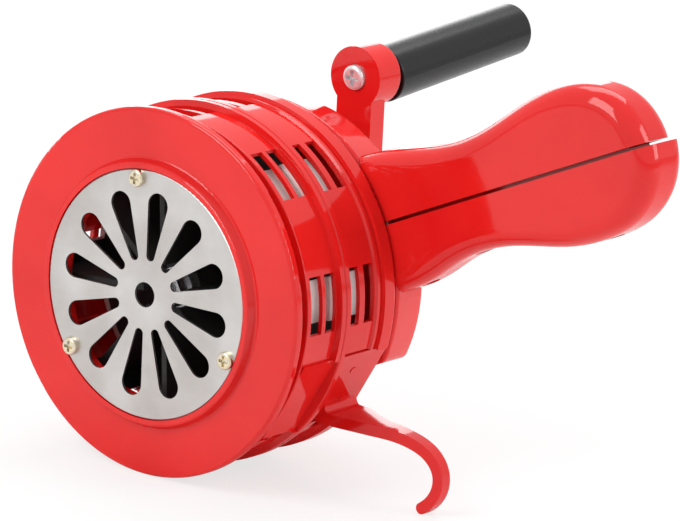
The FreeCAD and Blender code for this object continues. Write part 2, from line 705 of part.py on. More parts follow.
def grip_origin():
    dx, dz = polar(ARM_LENGTH, ARM_LEAN)
    return CRANK_X + dx, ARM_FRONT, CRANK_Z + dz


def canted(shape):
    """Move a piece built along Y from the origin onto the grip bolt's canted axis."""
    copy = shape.copy()
    copy.rotate(Vector(0, 0, 0), Vector(1, 0, 0), GRIP_CANT)
    copy.translate(Vector(*grip_origin()))
    return copy


def make_crank_arm():
    x, y, z = grip_origin()
    boss = rod(ARM_BOSS_R, y, y + ARM_BOSS_T, x, z)
    hub = rod(ARM_HUB_R, y, y + ARM_HUB_T, *CRANK_PLACE)
    across_x, across_z = polar(ARM_WIDTH / 2, ARM_LEAN - 90)
    corners = [(CRANK_X - across_x, CRANK_Z - across_z), (CRANK_X + across_x, CRANK_Z + across_z),
               (x + across_x, z + across_z), (x - across_x, z - across_z)]
    bar = prism(corners, y, y + ARM_T)
    arm = bar.fuse([boss, hub]).removeSplitter()
    arm = round_rims(arm, [(ARM_BOSS_R, y + ARM_BOSS_T, ARM_ROUND), (ARM_HUB_R, y + ARM_HUB_T, ARM_ROUND)])
    arm = arm.cut(bore(CRANK_SHAFT_R + FIT, *CRANK_PLACE))
    head_r, head_h = GRIP_HEAD
    sink = canted(rod(head_r + SCREW_CLEAR, -head_h * 2, GRIP_HEAD_SINK))
    return arm.cut([canted(rod(GRIP_BOLT_R + FIT, -ARM_BOSS_T, ARM_BOSS_T * 2)), sink])


# The turning grip: a loose sleeve that hangs on its bolt, held by a washer and a nut
WASHER_Y = ARM_BOSS_T + ARM_BOSS_R * math.tan(math.radians(GRIP_CANT))
GRIP_Y = WASHER_Y + GRIP_WASHER[1] + END_PLAY
GRIP_END = GRIP_Y + GRIP_LENGTH


def make_grip_bolt():
    bolt = pan_screw(GRIP_BOLT_R, GRIP_HEAD, GRIP_END - GRIP_BOLT_TIP - GRIP_HEAD_SINK)
    return canted(placed(bolt, 0, GRIP_HEAD_SINK, 0))


def make_grip_washer():
    washer_r, washer_t = GRIP_WASHER
    return canted(tube(washer_r, GRIP_BOLT_R + FIT, WASHER_Y, WASHER_Y + washer_t))


def make_crank_grip():
    near_r, far_r = GRIP_R
    near_round, far_round = GRIP_ROUND
    pocket_r, pocket_deep = GRIP_POCKET
    grip = turned([(0, GRIP_Y), (near_r, GRIP_Y), (far_r, GRIP_END), (0, GRIP_END)])
    grip = round_rims(grip, [(near_r, GRIP_Y, near_round), (far_r, GRIP_END, far_round)])
    grip = grip.cut(bore(GRIP_BOLT_R + RUN + GRIP_HANG))
    grip = grip.cut(rod(pocket_r, GRIP_END - pocket_deep, GRIP_END + 1))
    return canted(placed(grip, 0, 0, -GRIP_HANG))


def make_grip_nut():
    across, height = GRIP_NUT
    seat_y = GRIP_END - GRIP_POCKET[1] + GRIP_NUT_WASHER[1] + END_PLAY
    nut = hexagon(across, seat_y, seat_y + height)
    washer_r, washer_t = GRIP_NUT_WASHER
    nut = nut.fuse(rod(washer_r, seat_y - washer_t, seat_y))
    return canted(nut.cut(bore(GRIP_BOLT_R + FIT)).removeSplitter())


# The gear housing: a necked cup with posts inside, a dome over the crank wheel and a tang for the handle
CRANK_BOSS_Y = BUSH_Y + BUSH_FLANGE[1]


def dome(radius, y0, y1, corner):
    fall = (y1 - y0) * math.tan(math.radians(DOME_DRAFT))
    cup = Part.makeCone(radius, radius - fall, y1 - y0, Vector(DOME_X, y0, DOME_Z), Vector(0, 1, 0))
    return round_rims(cup, [(radius - fall, y1, corner)])


def past_flat(depth):
    """All that lies past the flat low on the cup's side, or past a plane so far inside it."""
    return block_aside(CASE_FLAT_ANGLE, CASE_FLAT_OUT - depth, THROUGH, -THROUGH, THROUGH, 0, CASE_BACK)


def flat_corners(shape):
    """The cup's two long edges where its flat begins."""
    x, z = polar(1, CASE_FLAT_ANGLE)
    across = Vector(x, 0, z)
    corners = []
    for edge in shape.Edges:
        on_flat = all(abs(end.Point.dot(across) - CASE_FLAT_OUT) < 0.01 for end in edge.Vertexes)
        ends = sorted(end.Point.y for end in edge.Vertexes)
        if on_flat and abs(ends[0] - CASE_FRONT) < 0.01 and abs(ends[-1] - CASE_RIM) < 0.01:
            corners.append(edge)
    return corners


def case_outside():
    shape = turned([(0, DRUM_BACK), (NECK_R, DRUM_BACK), (NECK_R, CASE_FRONT), (CASE_R, CASE_FRONT),
                    (CASE_RIM_R, CASE_RIM), (0, CASE_RIM)])
    shape = shape.cut(past_flat(0))
    shape = shape.makeFillet(CASE_CORNER, flat_corners(shape))
    rim = [edge for edge in shape.Edges if all(abs(end.Point.y - CASE_RIM) < 0.01 for end in edge.Vertexes)]
    shape = shape.makeFillet(CASE_ROUND, rim)
    shape = round_rims(shape, [(CASE_R, CASE_FRONT, CASE_EDGE)])
    return shape.fuse(dome(DOME_R, CASE_RIM - 1, CASE_BACK, DOME_ROUND)).removeSplitter()


def case_inside():
    room = rod(NECK_R - CASE_WALL, DRUM_BACK - 1, CASE_RIM - CASE_WALL).cut(past_flat(CASE_WALL))
    dome_y = CASE_RIM - CASE_WALL - 1
    return room.fuse(dome(DOME_R - CASE_WALL, dome_y, CASE_BACK - CASE_WALL, DOME_ROUND / 2))


def case_room():
    """The space round the gear housing that the handle's shells keep clear of."""
    front_r = CASE_R + CASE_CLEAR
    rim_r = CASE_RIM_R + CASE_CLEAR
    return turned([(0, DRUM_BACK - SPARE), (front_r, DRUM_BACK - SPARE), (front_r, CASE_FRONT),
                   (rim_r, CASE_RIM), (rim_r, CASE_RIM + SPARE), (0, CASE_RIM + SPARE)])


def along_handle(along, up):
    return aside(HANDLE_ANGLE, along, up)


def handle_block(along0, along1, up0, up1, y0, y1):
    return block_aside(HANDLE_ANGLE, along0, along1, up0, up1, y0, y1)


def tang_block(along0, along1, clear):
    half_t = TANG_T / 2
    half_deep = TANG_DEPTH / 2 + clear
    return handle_block(along0, along1 + clear, SEAM_UP - half_t, SEAM_UP + half_t,
                        HANDLE_MIDDLE - half_deep, HANDLE_MIDDLE + half_deep)


def make_gear_housing():
    outer = case_outside()
    inner = case_inside()
    tang = tang_block(NECK_R - CASE_WALL, TANG_END, 0).cut(rod(NECK_R - FIT, 0, CASE_BACK))
    posts = [rod(CASE_POST_R, DRUM_BACK, CASE_RIM - 1, x, z).common(outer) for x, z in case_post_places()]
    bosses = [rod(CRANK_BOSS_R, CRANK_BOSS_Y, BUSH_BACK, *CRANK_PLACE),
              rod(LAY_BOSS_R, LAY_BOSS_Y, CASE_BACK - LAY_PIN_COVER, *LAY_PLACE)]
    case = outer.cut(inner).fuse([tang] + bosses + posts).removeSplitter()
    holes = [bore(BUSH_R + FIT, *CRANK_PLACE), rod(LAY_PIN_R + FIT, 0, CASE_BACK - LAY_PIN_COVER, *LAY_PLACE)]
    holes += [bore(M4 + SCREW_CLEAR, x, z) for x, z in case_post_places()]
    for along in HANDLE_SCREWS[:TANG_SCREWS]:
        holes.append(handle_rod(along, M4 + SCREW_CLEAR, -TANG_T * 2, TANG_T * 2))
    return case.cut(Part.makeCompound(holes))


def make_gear_housing_screws():
    screw = turned_back(pan_screw(M4, CASE_HEAD, CASE_RIM - DRUM_BACK + BACK_WALL))
    return Part.makeCompound([placed(screw, x, CASE_RIM, z) for x, z in case_post_places()])


# The carrying handle's two cast shells
def handle_rod(along, radius, up0, up1):
    x, z = along_handle(along, up0)
    turn = math.radians(HANDLE_ANGLE)
    direction = Vector(-math.sin(turn), 0, math.cos(turn))
    return Part.makeCylinder(radius, up1 - up0, Vector(x, HANDLE_MIDDLE, z), direction)


def shell_prism(line, end, seam, y0, y1, inset):
    """A half of the handle as a prism, its outline drawn in by inset."""
    side = 1 if line[0][1] > seam else -1
    points = []
    for k, (along, up) in enumerate(line):
        before = line[max(k - 1, 0)]
        after = line[k + 1] if k + 1 < len(line) else (end, seam)
        run = (after[0] - before[0], after[1] - before[1])
        length = math.hypot(*run)
        points.append((along + side * run[1] / length * inset, up - side * run[0] / length * inset))
    points.append((end - inset, seam))
    corners = []
    for along, up in points:
        x, z = along_handle(along, up)
        corners.append(Vector(x, y0, z))
    curve = Part.BSplineCurve()
    curve.interpolate(corners)
    x, z = along_handle(points[0][0], seam)
    root = Vector(x, y0, z)
    wire = Part.Wire([curve.toShape(), Part.LineSegment(corners[-1], root).toShape(),
                      Part.LineSegment(root, corners[0]).toShape()])
    return Part.Face(wire).extrude(Vector(0, y1 - y0, 0))


def round_outline(solid, fillet):
    """Round the two long curved edges of a handle half."""
    edges = []
    for edge in solid.Edges:
        flat = all(abs(vertex.Point.y - edge.Vertexes[0].Point.y) < 0.01 for vertex in edge.Vertexes)
        if isinstance(edge.Curve, Part.BSplineCurve) and flat:
            edges.append(edge)
    return solid.makeFillet(fillet, edges)


def make_handle_shell(line, end, seam, proud):
    y0 = HANDLE_FRONT - proud
    y1 = HANDLE_FRONT + HANDLE_DEPTH + proud
    outer = round_outline(shell_prism(line, end, seam, y0, y1, 0), HANDLE_ROUND)
    inner = shell_prism(line, end, seam, y0 + HANDLE_WALL, y1 - HANDLE_WALL, HANDLE_WALL)
    inner = round_outline(inner, HANDLE_ROUND - HANDLE_WALL)
    shell = outer.cut(inner)
    side = 1 if line[0][1] > seam else -1
    bosses = []
    for number, along in enumerate(HANDLE_SCREWS):
        near = SEAM_UP + side * TANG_T / 2 if number < TANG_SCREWS else seam
        far = side * HANDLE_REACH
        bosses.append(handle_rod(along, HANDLE_BOSS_R, min(near, far), max(near, far)).common(outer))
    root = handle_block(0, ROOT_ALONG, -HANDLE_REACH, HANDLE_REACH, y0, y1)
    shell = shell.fuse(bosses + [outer.common(root)])
    shell = shell.cut([case_room(), tang_block(0, TANG_END, TANG_CLEAR)])
    holes = []
    for along in HANDLE_SCREWS:
        holes.append(handle_rod(along, M4 + SCREW_CLEAR, -HANDLE_REACH * 2, SCREW_END_UP + SPARE))
        if side < 0:
            head_r = HANDLE_HEAD[0] + SCREW_CLEAR
            holes.append(handle_rod(along, head_r, -HANDLE_REACH * 2, screw_seat(along)))
    return shell.cut(holes).removeSplitter()


def screw_seat(along):
    """How low the screw's head sits in the lower shell at this place."""
    nearest = min(LOWER_LINE, key=lambda point: abs(point[0] - along))
    return nearest[1] + SCREW_SINK


def make_upper_handle_shell():
    return make_handle_shell(UPPER_LINE, UPPER_END, SEAM_UP + SEAM_GAP / 2, 0)


def make_lower_handle_shell():
    return make_handle_shell(LOWER_LINE, LOWER_END, SEAM_UP - SEAM_GAP / 2, LOWER_PROUD)


def make_handle_screws():
    screws = []
    for along in HANDLE_SCREWS:
        seat = screw_seat(along)
        screw = pan_screw(M4, HANDLE_HEAD, SCREW_END_UP - seat)
        screw.rotate(Vector(0, 0, 0), Vector(1, 0, 0), 90)
        screw.rotate(Vector(0, 0, 0), Vector(0, 1, 0), -HANDLE_ANGLE)
        x, z = along_handle(along, seat)
        screws.append(placed(screw, x, HANDLE_MIDDLE, z))
    return Part.makeCompound(screws)


# The stand hook: a plate riveted on the rear pad, whose foot bends out into a tapering claw
HOOK_FACE = REAR_PAD_OUT + HOOK_PLATE_T


def rivet_rod(up, y, radius, out0, out1):
    x, z = in_pad(out0, up)
    turn = math.radians(PAD_ANGLE)
    return Part.makeCylinder(radius, out1 - out0, Vector(x, y, z), Vector(math.cos(turn), 0, math.sin(turn)))


def pad_plate(points, out0, out1):
    """A plate lying on a pad, its outline given as (up, y) points."""
    corners = []
    for up, y in points:
        x, z = in_pad(out0, up)
        corners.append(Vector(x, y, z))
    thick = Vector(*polar(out1 - out0, PAD_ANGLE), 0)
    return Part.Face(Part.makePolygon(corners + corners[:1])).extrude(Vector(thick.x, 0, thick.y))


def inner_corner(corner, reach, degrees0, degrees1, y0, y1):
    """The web of metal that rounds an inner corner between two directions."""
    half = math.radians((degrees0 - degrees1) / 2)
    radius = reach * math.tan(half)
    middle = polar(radius / math.sin(half) - radius, (degrees0 + degrees1) / 2)
    ends = [polar(reach, degrees0), middle, polar(reach, degrees1)]
    first, second, third = [Vector(corner[0] + x, y0, corner[1] + z) for x, z in ends]
    point = Vector(corner[0], y0, corner[1])
    edges = [Part.Arc(first, second, third).toShape(), Part.LineSegment(third, point).toShape(),
             Part.LineSegment(point, first).toShape()]
    return Part.Face(Part.Wire(edges)).extrude(Vector(0, y1 - y0, 0))


def hook_points():
    """The claw's middle line, from the plate's foot down to the ground."""
    foot_x, foot_z = in_pad(HOOK_FACE, HOOK_FOOT)
    drop = HOOK_T / 2 - FLANGE_R - foot_z
    return [(foot_x + dx, foot_z + share * drop) for dx, share in HOOK_LINE]


def hook_bar():
    """The claw's side outline, as wide as the plate."""
    line = hook_points()
    upper = []
    lower = []
    last = len(line) - 1
    for k, (x, z) in enumerate(line):
        before = line[max(k - 1, 0)]
        after = line[min(k + 1, last)]
        run = (after[0] - before[0], after[1] - before[1])
        half = HOOK_T / 2 / math.hypot(*run)
        upper.append(Vector(x - run[1] * half, 0, z + run[0] * half))
        lower.append(Vector(x + run[1] * half, 0, z - run[0] * half))
    onward = (upper[-1] - lower[-1]).cross(Vector(0, 1, 0)).normalize()
    tip = (upper[-1] + lower[-1]) * 0.5 - onward * (HOOK_T / 2)
    top = Part.BSplineCurve()
    top.interpolate(upper)
    under = Part.BSplineCurve()
    under.interpolate(lower)
    edges = [top.toShape(), Part.Arc(upper[-1], tip, lower[-1]).toShape(), under.toShape(),
             Part.LineSegment(lower[0], upper[0]).toShape()]
    return Part.Face(Part.Wire(Part.__sortEdges__(edges))).extrude(Vector(0, HOOK_PLATE_BACK + 1, 0))


def hook_blank():
    """Plan view of the claw: wide at the plate, narrowing to a bar."""
    bar0, bar1 = HOOK_BAR
    line = hook_points()
    bend_x = line[1][0]
    far_x = line[5][0] - SPARE
    end_x = line[8][0] + HOOK_T * 2
    plan = [(bend_x - 12, bar0), (far_x, bar0), (end_x, bar0 + 0.8), (end_x, bar1 - 0.8), (far_x, bar1 + 0.4),
            (bend_x + 23, bar1 + 3.2), (bend_x + 13, bar1 + 8.0), (bend_x + 5, HOOK_PLATE_BACK - 1.6),
            (bend_x - 12, HOOK_PLATE_BACK)]
    corners = [Vector(x, y, -FLANGE_R - SPARE) for x, y in plan]
    return Part.Face(Part.makePolygon(corners + corners[:1])).extrude(Vector(0, 0, FLANGE_R + SPARE))


def make_stand_hook():
    bar0 = HOOK_BAR[0]
    plate = pad_plate([(HOOK_PLATE_TOP, HOOK_PLATE_FRONT), (HOOK_PLATE_TOP, HOOK_PLATE_BACK),
                       (HOOK_FOOT, HOOK_PLATE_BACK), (HOOK_FOOT, bar0), (HOOK_FOOT + 6, bar0 - 0.6)],
                      REAR_PAD_OUT, HOOK_FACE)
    blank = hook_blank()
    bar_top = hook_points()[1][1] + HOOK_T / 2 - 0.3
    turn = math.radians(PAD_ANGLE)
    foot_up = (bar_top - HOOK_FACE * math.sin(turn)) / math.cos(turn)
    web = inner_corner(in_pad(HOOK_FACE, foot_up), HOOK_ROOT_REACH, PAD_ANGLE + 90, 0, bar0, HOOK_PLATE_BACK)
    hook = plate.fuse([hook_bar().common(blank), web.common(blank)])
    inside = pad_block(0, REAR_PAD_OUT, -FLANGE_R, FLANGE_R, 0, HOOK_PLATE_BACK + 2)
    holes = [rivet_rod(up, y, M3 + FIT, REAR_PAD_OUT - 1, HOOK_FACE + 1) for up, y in HOOK_RIVETS]
    return hook.cut([inside] + holes).removeSplitter()


def make_hook_rivets():
    start = BORE_R - 0.2
    return Part.makeCompound([rivet_rod(up, y, M3, start, HOOK_FACE + RIVET_HEAD) for up, y in HOOK_RIVETS])


PIECES = {
    "front_housing": make_front_housing,
    "rear_housing": make_rear_housing,
    "housing_screws": make_housing_screws,
    "grille_disc": make_grille_disc,
    "grille_screws": make_grille_screws,
    "rotor": make_rotor,
    "rotor_shaft": make_rotor_shaft,
    "rotor_nut": make_rotor_nut,
    "rotor_washer": make_rotor_washer,
    "bearing_outer_rings": make_bearing_outer_rings,
    "bearing_inner_rings": make_bearing_inner_rings,
    "bearing_balls": make_bearing_balls,
    "rotor_pinion": make_rotor_pinion,
    "layshaft_wheel": make_layshaft_wheel,
    "layshaft_pinion": make_layshaft_pinion,
    "layshaft_pin": make_layshaft_pin,
    "layshaft_washers": make_layshaft_washers,
    "crank_wheel": make_crank_wheel,
    "crank_shaft": make_crank_shaft,
    "crank_bush": make_crank_bush,
    "crank_washer": make_crank_washer,
    "crank_nut": make_crank_nut,
    "crank_arm": make_crank_arm,
    "grip_bolt": make_grip_bolt,
    "grip_washer": make_grip_washer,
    "crank_grip": make_crank_grip,
    "grip_nut": make_grip_nut,
    "gear_housing": make_gear_housing,
    "gear_housing_screws": make_gear_housing_screws,
    "upper_handle_shell": make_upper_handle_shell,
    "lower_handle_shell": make_lower_handle_shell,
    "handle_screws": make_handle_screws,
    "stand_hook": make_stand_hook,
    "hook_rivets": make_hook_rivets,
}


def base_middle(shapes):
    box = FreeCAD.BoundBox()
    for shape in shapes.values():
        box.add(shape.optimalBoundingBox(False))
    return Vector((box.XMin + box.XMax) / 2, (box.YMin + box.YMax) / 2, box.ZMin)


os.makedirs("parts", exist_ok=True)
shapes = {name: make() for name, make in PIECES.items()}
middle = base_middle(shapes)
for name, shape in shapes.items():
    shape.translate(middle * -1)
    shape.exportStep("parts/" + name + ".step")
    print(name, len(shape.Solids), "solids, valid:", shape.isValid(), "volume", round(shape.Volume))
print("moved by", [round(-value, 4) for value in middle])
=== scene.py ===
# %% [markdown]
# A hand crank siren, dressed for its portrait
#
# The real siren is a drum of cast metal in baked red enamel, with a rotor inside, a stainless grille in
# front and a cast carrying handle at its side. Its construction comes ready made, as a frame of named
# parts. We could model the parts again here, but then nothing would promise that they still fit each
# other. So this lesson leaves every part as it is, and gives the siren its finishes, one piece more, a
# studio and a camera.

import json
import math

import bpy
from mathutils import Matrix, Vector


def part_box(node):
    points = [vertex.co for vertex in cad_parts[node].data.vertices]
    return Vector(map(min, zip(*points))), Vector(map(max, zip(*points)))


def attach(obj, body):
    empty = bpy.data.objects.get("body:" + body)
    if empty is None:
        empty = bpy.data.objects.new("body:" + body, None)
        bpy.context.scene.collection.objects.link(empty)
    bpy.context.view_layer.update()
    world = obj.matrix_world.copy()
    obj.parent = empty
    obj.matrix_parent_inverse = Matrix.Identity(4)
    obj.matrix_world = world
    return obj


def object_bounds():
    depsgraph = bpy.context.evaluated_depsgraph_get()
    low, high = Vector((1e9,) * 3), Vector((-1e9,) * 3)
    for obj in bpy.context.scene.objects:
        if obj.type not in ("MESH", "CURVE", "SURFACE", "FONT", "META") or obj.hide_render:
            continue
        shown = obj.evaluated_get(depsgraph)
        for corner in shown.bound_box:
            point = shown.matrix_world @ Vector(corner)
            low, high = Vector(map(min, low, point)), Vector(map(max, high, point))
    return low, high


MM = 0.001

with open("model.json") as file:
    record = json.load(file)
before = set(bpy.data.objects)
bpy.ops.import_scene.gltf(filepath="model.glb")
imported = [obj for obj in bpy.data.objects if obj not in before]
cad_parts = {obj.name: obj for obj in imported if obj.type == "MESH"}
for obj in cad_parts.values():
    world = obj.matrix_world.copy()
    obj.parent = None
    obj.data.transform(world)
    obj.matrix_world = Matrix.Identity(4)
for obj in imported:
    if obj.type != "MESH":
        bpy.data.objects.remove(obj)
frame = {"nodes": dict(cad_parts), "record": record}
nodes = frame["nodes"]
cad_low, cad_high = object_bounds()
print("parts:", len(nodes), "box in mm:", [round(size / MM, 1) for size in cad_high - cad_low])

# %% [markdown]
# Where the camera looks
#
# The portrait was taken with a long lens from the front right and a little above, and the siren leans a
# few degrees in it. We could aim a camera by eye. Angles measured from the drum's round rims are surer,
# so three of them say where the camera looks. The lean goes into the camera, because the siren itself
# stays upright.

# %% Camera directions
VIEW_TURN = math.radians(38.66)
VIEW_DROP = math.radians(11.64)
VIEW_LEAN = math.radians(4.75)


def lean(v):
    """Turn a direction about the drum's axis by the siren's lean in the portrait."""
    cosine, sine = math.cos(VIEW_LEAN), math.sin(VIEW_LEAN)
    return Vector((v[0] * cosine - v[2] * sine, v[1], v[0] * sine + v[2] * cosine))


view_right = lean((math.cos(VIEW_TURN), math.sin(VIEW_TURN), 0))
view_ahead = lean((-math.cos(VIEW_DROP) * math.sin(VIEW_TURN), math.cos(VIEW_DROP) * math.cos(VIEW_TURN),
                   -math.sin(VIEW_DROP)))
view_up = view_right.cross(view_ahead)
print("the camera looks along", [round(part, 3) for part in view_ahead])

# %% [markdown]
# Framing the portrait
#
# We could aim at the siren's middle and try lenses until the picture fits. It is simpler to pin one
# point. The grille's centre has to fall on its place in the picture, and the picture shows a known number
# of pixels for each metre there. The lens follows from that number and the distance, and the pinned point
# says where to stand.

# %% The pinned point
PICTURE = (680, 521)
GRILLE_PX = (144.6, 294.8)
PX_PER_M = 2602.0

grille_low, grille_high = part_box("grille_disc")
grille_centre = Vector(((grille_low.x + grille_high.x) / 2, grille_low.y, (grille_low.z + grille_high.z) / 2))
print("grille's centre in mm:", [round(part / MM, 1) for part in grille_centre])

# %% Camera
# Distances in metres, and the sensor's width in millimetres
VIEW_DISTANCE = 1.934
NEAREST_SEEN = 0.05
SENSOR = 36.0


def put_in_scene(name, data):
    """Make an object of a camera, lamp or mesh, and put it in the scene."""
    thing = bpy.data.objects.new(name, data)
    bpy.context.scene.collection.objects.link(thing)
    return thing


def make_camera():
    """A camera that sees the grille's centre at its place in the picture."""
    data = bpy.data.cameras.new("camera")
    data.sensor_width = SENSOR
    data.lens = PX_PER_M * VIEW_DISTANCE / PICTURE[0] * SENSOR
    data.clip_start = NEAREST_SEEN
    right_m = (GRILLE_PX[0] - PICTURE[0] / 2) / PX_PER_M
    up_m = (PICTURE[1] / 2 - GRILLE_PX[1]) / PX_PER_M
    place = grille_centre - view_ahead * VIEW_DISTANCE - view_right * right_m - view_up * up_m
    turn = Matrix((view_right, view_up, -view_ahead)).transposed().to_4x4()
    camera = put_in_scene("camera", data)
    camera.matrix_world = Matrix.Translation(place) @ turn
    bpy.context.scene.camera = camera
    return camera


camera = make_camera()
print("camera at", [round(part, 3) for part in camera.location], "lens", round(camera.data.lens, 1))

# %% [markdown]
# Writing a finish
#
# A finish on a real thing is a skin: paint, plating, or the marks of a tool. Here each one is a
# Principled shader with a few textures in front of it. They could be joined by hand in the shader editor.
# As code, a recipe stays short if one helper puts a node in a tree and joins what feeds it, and another
# starts the material.

# %% Node helper
def add_node(tree, kind, links=None, **settings):
    """Put a node in a tree, with its settings, and join the outputs that feed it."""
    node = tree.nodes.new(kind)
    for name, value in settings.items():
        if hasattr(node, name):
            setattr(node, name, value)
        else:
            node.inputs[name.replace("_", " ").title()].default_value = value
    for name, output in (links or {}).items():
        tree.links.new(output, node.inputs[name])
    return node


print("helper:", add_node.__doc__)

# %% Start a finish
class Finish:
    """A material with its shader, the place of each point, and the bumps made so far."""

    def __init__(self, name, colour, metallic=0.0):
        self.material = bpy.data.materials.new(name)
        self.material.use_nodes = True
        self.material.diffuse_color = (*colour, 1)
        self.tree = self.material.node_tree
        self.shader = self.tree.nodes["Principled BSDF"]
        self.fix("Base Color", (*colour, 1))
        self.fix("Metallic", metallic)
        self.place = add_node(self.tree, "ShaderNodeTexCoord").outputs["Object"]
        self.bumps = None

    def fix(self, name, value):
        """Set a socket to what is the same all over the surface."""
        self.shader.inputs[name].default_value = value

    def drive(self, name, output):
        """Let a texture say what a socket is from point to point."""
        self.tree.links.new(output, self.shader.inputs[name])


print("helper:", Finish.__doc__)

# %% [markdown]
# Clouds, grain and bumps
#
# Paint is never quite even, plating is blotchy, and brushed steel is streaked. Photographs of metal could
# be laid on the parts, but they need flat maps and they repeat. Noise that fills space needs neither. Its
# blobs have a size in millimetres, and blobs stretched along one direction look like brushing. Noise
# keeps near its middle value, so a narrow range of it is spread out to the range that the finish needs.

# %% Noise
MM_PER_M = 1 / MM
# How much fine detail a noise has
SMOOTH = 1.0
CLOUDY = 2.0
FINE = 3.0


def noise(finish, size_mm, detail, stretch=(1, 1, 1)):
    """Noise whose blobs are about size_mm across, and longer where stretch is under 1."""
    scale = [MM_PER_M / size_mm * share for share in stretch]
    mapping = add_node(finish.tree, "ShaderNodeMapping", {"Vector": finish.place}, scale=scale)
    feed = {"Vector": mapping.outputs["Vector"]}
    return add_node(finish.tree, "ShaderNodeTexNoise", feed, scale=1.0, detail=detail).outputs["Fac"]


def spread(tree, value, between, to):
    """Spread what lies between two numbers over the range from one number to another."""
    node = add_node(tree, "ShaderNodeMapRange", {"Value": value}, from_min=between[0], from_max=between[1],
                    to_min=to[0], to_max=to[1])
    return node.outputs["Result"]


print("helpers:", noise.__doc__, spread.__doc__)

# %% Colour blend and bump
# Places of the colour sockets in a Mix node, which has others of the same names for numbers and vectors
MIX_FACTOR = 0
MIX_FIRST = 6
MIX_SECOND = 7
MIX_COLOUR = 2


def blend(finish, factor, first, second):
    """A colour that goes from the first to the second as the factor goes from 0 to 1."""
    node = add_node(finish.tree, "ShaderNodeMix", {MIX_FACTOR: factor}, data_type="RGBA")
    node.inputs[MIX_FIRST].default_value = (*first, 1)
    node.inputs[MIX_SECOND].default_value = (*second, 1)
    return node.outputs[MIX_COLOUR]


def bump(finish, height, depth_mm):
    """Lay a bump of the given depth over those that the finish already has."""
    feed = {"Height": height}
    if finish.bumps:
        feed["Normal"] = finish.bumps
    finish.bumps = add_node(finish.tree, "ShaderNodeBump", feed, distance=depth_mm * MM).outputs["Normal"]
    finish.drive("Normal", finish.bumps)


print("helpers:", blend.__doc__, bump.__doc__)

# %% [markdown]
# Red enamel
#
# The enamel is sprayed on rough castings and baked. It stays glossy, but it isn't glass: it has the faint
# ripple called orange peel, slow waves from the casting below, and a colour that is a shade deeper where
# it is thick. A painted car would need flakes. Here one pigment under a clear gloss is right, and the
# pigment itself has no shine, so that white light from all round doesn't turn the red into pink.

# %% Red enamel
RED = (0.72, 0.014, 0.012)
DEEP_RED = (0.64, 0.009, 0.009)
PIGMENT_ROUGHNESS = 0.32
PIGMENT_SHINE = 0.0
GLOSS = 0.8
GLOSS_ROUGHNESS = 0.07
THICK_PAINT_MM = 45
THICK_PAINT_EDGES = (0.35, 0.7)
CASTING_WAVE = (14, 0.05)
ORANGE_PEEL = (0.9, 0.0022)


def make_red_enamel():
    """Red pigment under a clear gloss, with the size and depth of each ripple in millimetres."""
    enamel = Finish("red_enamel", RED)
    enamel.fix("Roughness", PIGMENT_ROUGHNESS)
    enamel.fix("Specular IOR Level", PIGMENT_SHINE)
    enamel.fix("Coat Weight", GLOSS)
    enamel.fix("Coat Roughness", GLOSS_ROUGHNESS)
    thick = spread(enamel.tree, noise(enamel, THICK_PAINT_MM, CLOUDY), THICK_PAINT_EDGES, (0, 1))
    enamel.drive("Base Color", blend(enamel, thick, RED, DEEP_RED))
    for size, depth in (CASTING_WAVE, ORANGE_PEEL):
        bump(enamel, noise(enamel, size, SMOOTH), depth)
    return enamel.material


red_enamel = make_red_enamel()
print("finish:", red_enamel.name, "with", len(red_enamel.node_tree.nodes), "nodes")

# %% [markdown]
# Brushed stainless steel
#
# The grille is thin stainless sheet with a brushed face, so the light on it is smeared across the
# brushing. An anisotropic shader could smear it with no texture at all, but near by one sees single
# streaks. So fine noise, stretched along the brushing, drives the roughness and a very shallow bump. A
# warm cloud in the colour breaks up the flat face.

# %% Brushed stainless steel
STEEL = (0.56, 0.545, 0.53)
WARM_STEEL = (0.47, 0.445, 0.425)
STEEL_ROUGHNESS = (0.30, 0.46)
STEEL_CLOUD_MM = 22
BRUSH_MM = 0.5
BRUSH_DEPTH_MM = 0.004
ALONG_X = (0.02, 1, 1)
CLOUD_EDGES = (0.35, 0.65)
GRAIN_EDGES = (0.3, 0.7)


def make_grille_steel():
    """Stainless sheet, brushed along X."""
    steel = Finish("grille_steel", STEEL, metallic=1.0)
    cloud = spread(steel.tree, noise(steel, STEEL_CLOUD_MM, FINE), CLOUD_EDGES, (0, 1))
    steel.drive("Base Color", blend(steel, cloud, STEEL, WARM_STEEL))
    brushed = noise(steel, BRUSH_MM, FINE, ALONG_X)
    steel.drive("Roughness", spread(steel.tree, brushed, GRAIN_EDGES, STEEL_ROUGHNESS))
    bump(steel, brushed, BRUSH_DEPTH_MM)
    return steel.material


grille_steel = make_grille_steel()
print("finish:", grille_steel.name, "with", len(grille_steel.node_tree.nodes), "nodes")

# %% [markdown]
# Plated and bare metals
#
# Screws, nuts, washers and shafts have a thin skin of zinc, the bolt of the grip is chromed, and gears,
# bearings and the bush are bare metal. Each could have a recipe of its own. They differ only in colour,
# roughness and how much they mirror, so one recipe serves them all. The chrome is only partly metallic
# here, which came nearer to the bright bolt in the portrait than a full mirror did.

# %% Plating recipe
BLOTCH_MM = 1.2
PLATE_GRAIN_MM = 0.25
PLATE_DEPTH_MM = 0.003
# How far the grain takes the roughness down and up
SMOOTHER = 0.06
ROUGHER = 0.08


